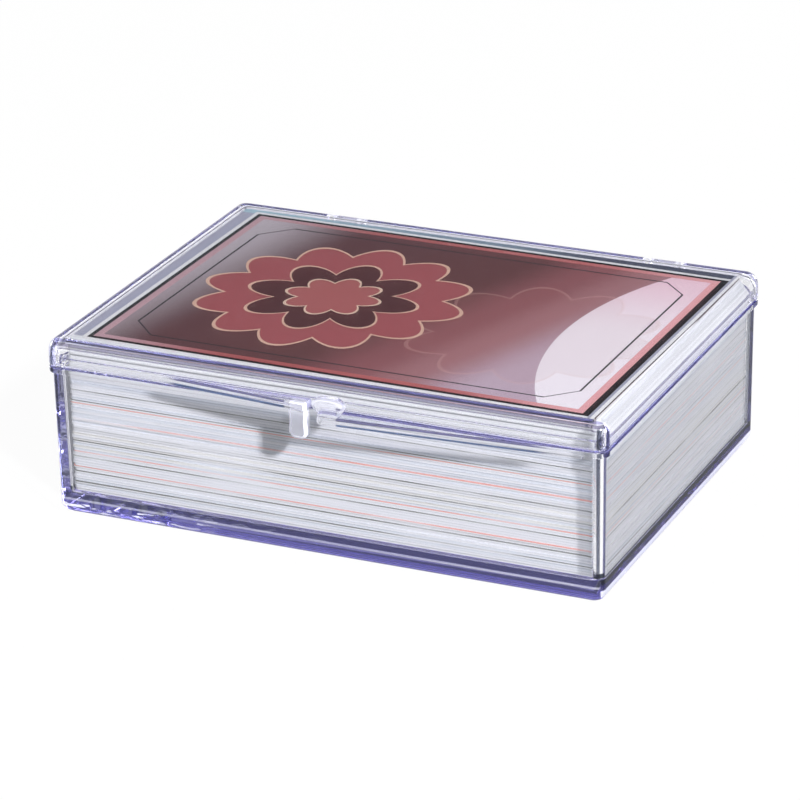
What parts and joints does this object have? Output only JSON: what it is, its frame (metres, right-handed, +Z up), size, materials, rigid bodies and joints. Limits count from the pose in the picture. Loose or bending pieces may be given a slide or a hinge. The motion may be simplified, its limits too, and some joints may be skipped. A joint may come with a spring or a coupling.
{
  "type": "card deck box",
  "caption": "Clear hinged plastic box holding a full deck of trading cards, with a snap-in pin hinge behind and a finger catch in front.",
  "frame": {"origin": "middle of the underside of the tray", "axes": "+X along the long front edge to the right, -Y towards the front with the catch, +Z up through the lid"},
  "size_m": [0.094, 0.0761, 0.0298],
  "materials": {
    "clear_plastic": "clear polished polystyrene",
    "card_board": "cut edges of coated white board",
    "card_print": "printed and varnished card"
  },
  "bodies": {
    "base": {"base_tray": "clear_plastic", "card_01": "card_board", "card_02": "card_board", "card_03": "card_board", "card_04": "card_board", "card_05": "card_board", "card_06": "card_board", "card_07": "card_board", "card_08": "card_board", "card_09": "card_board", "card_10": "card_board", "card_11": "card_board", "card_12": "card_board", "card_13": "card_board", "card_14": "card_board", "card_15": "card_board", "card_16": "card_board", "card_17": "card_board", "card_18": "card_board", "card_19": "card_board", "card_20": "card_board", "card_21": "card_board", "card_22": "card_board", "card_23": "card_board", "card_24": "card_board", "card_25": "card_board", "card_26": "card_board", "card_27": "card_board", "card_28": "card_board", "card_29": "card_board", "card_30": "card_board", "card_31": "card_board", "card_32": "card_board", "card_33": "card_board", "card_34": "card_board", "card_35": "card_board", "card_36": "card_board", "card_37": "card_board", "card_38": "card_board", "card_39": "card_board", "card_40": "card_board", "card_41": "card_board", "card_42": "card_board", "card_43": "card_board", "card_44": "card_board", "card_45": "card_board", "card_46": "card_board", "card_47": "card_board", "card_48": "card_board", "card_49": "card_board", "card_50": "card_board", "card_51": "card_board", "card_52": "card_board", "card_53": "card_board", "card_54": "card_board", "card_55": "card_board", "card_56": "card_board", "top_card": "card_print"},
    "lid": {"lid": "clear_plastic"}
  },
  "joints": [
    {"name": "lid_hinge", "type": "hinge", "parent": "base", "child": "lid", "pos_m": [0, 0.03655, 0.02537], "axis": [-1, 0, 0], "range_deg": [0, 180]}
  ]
}
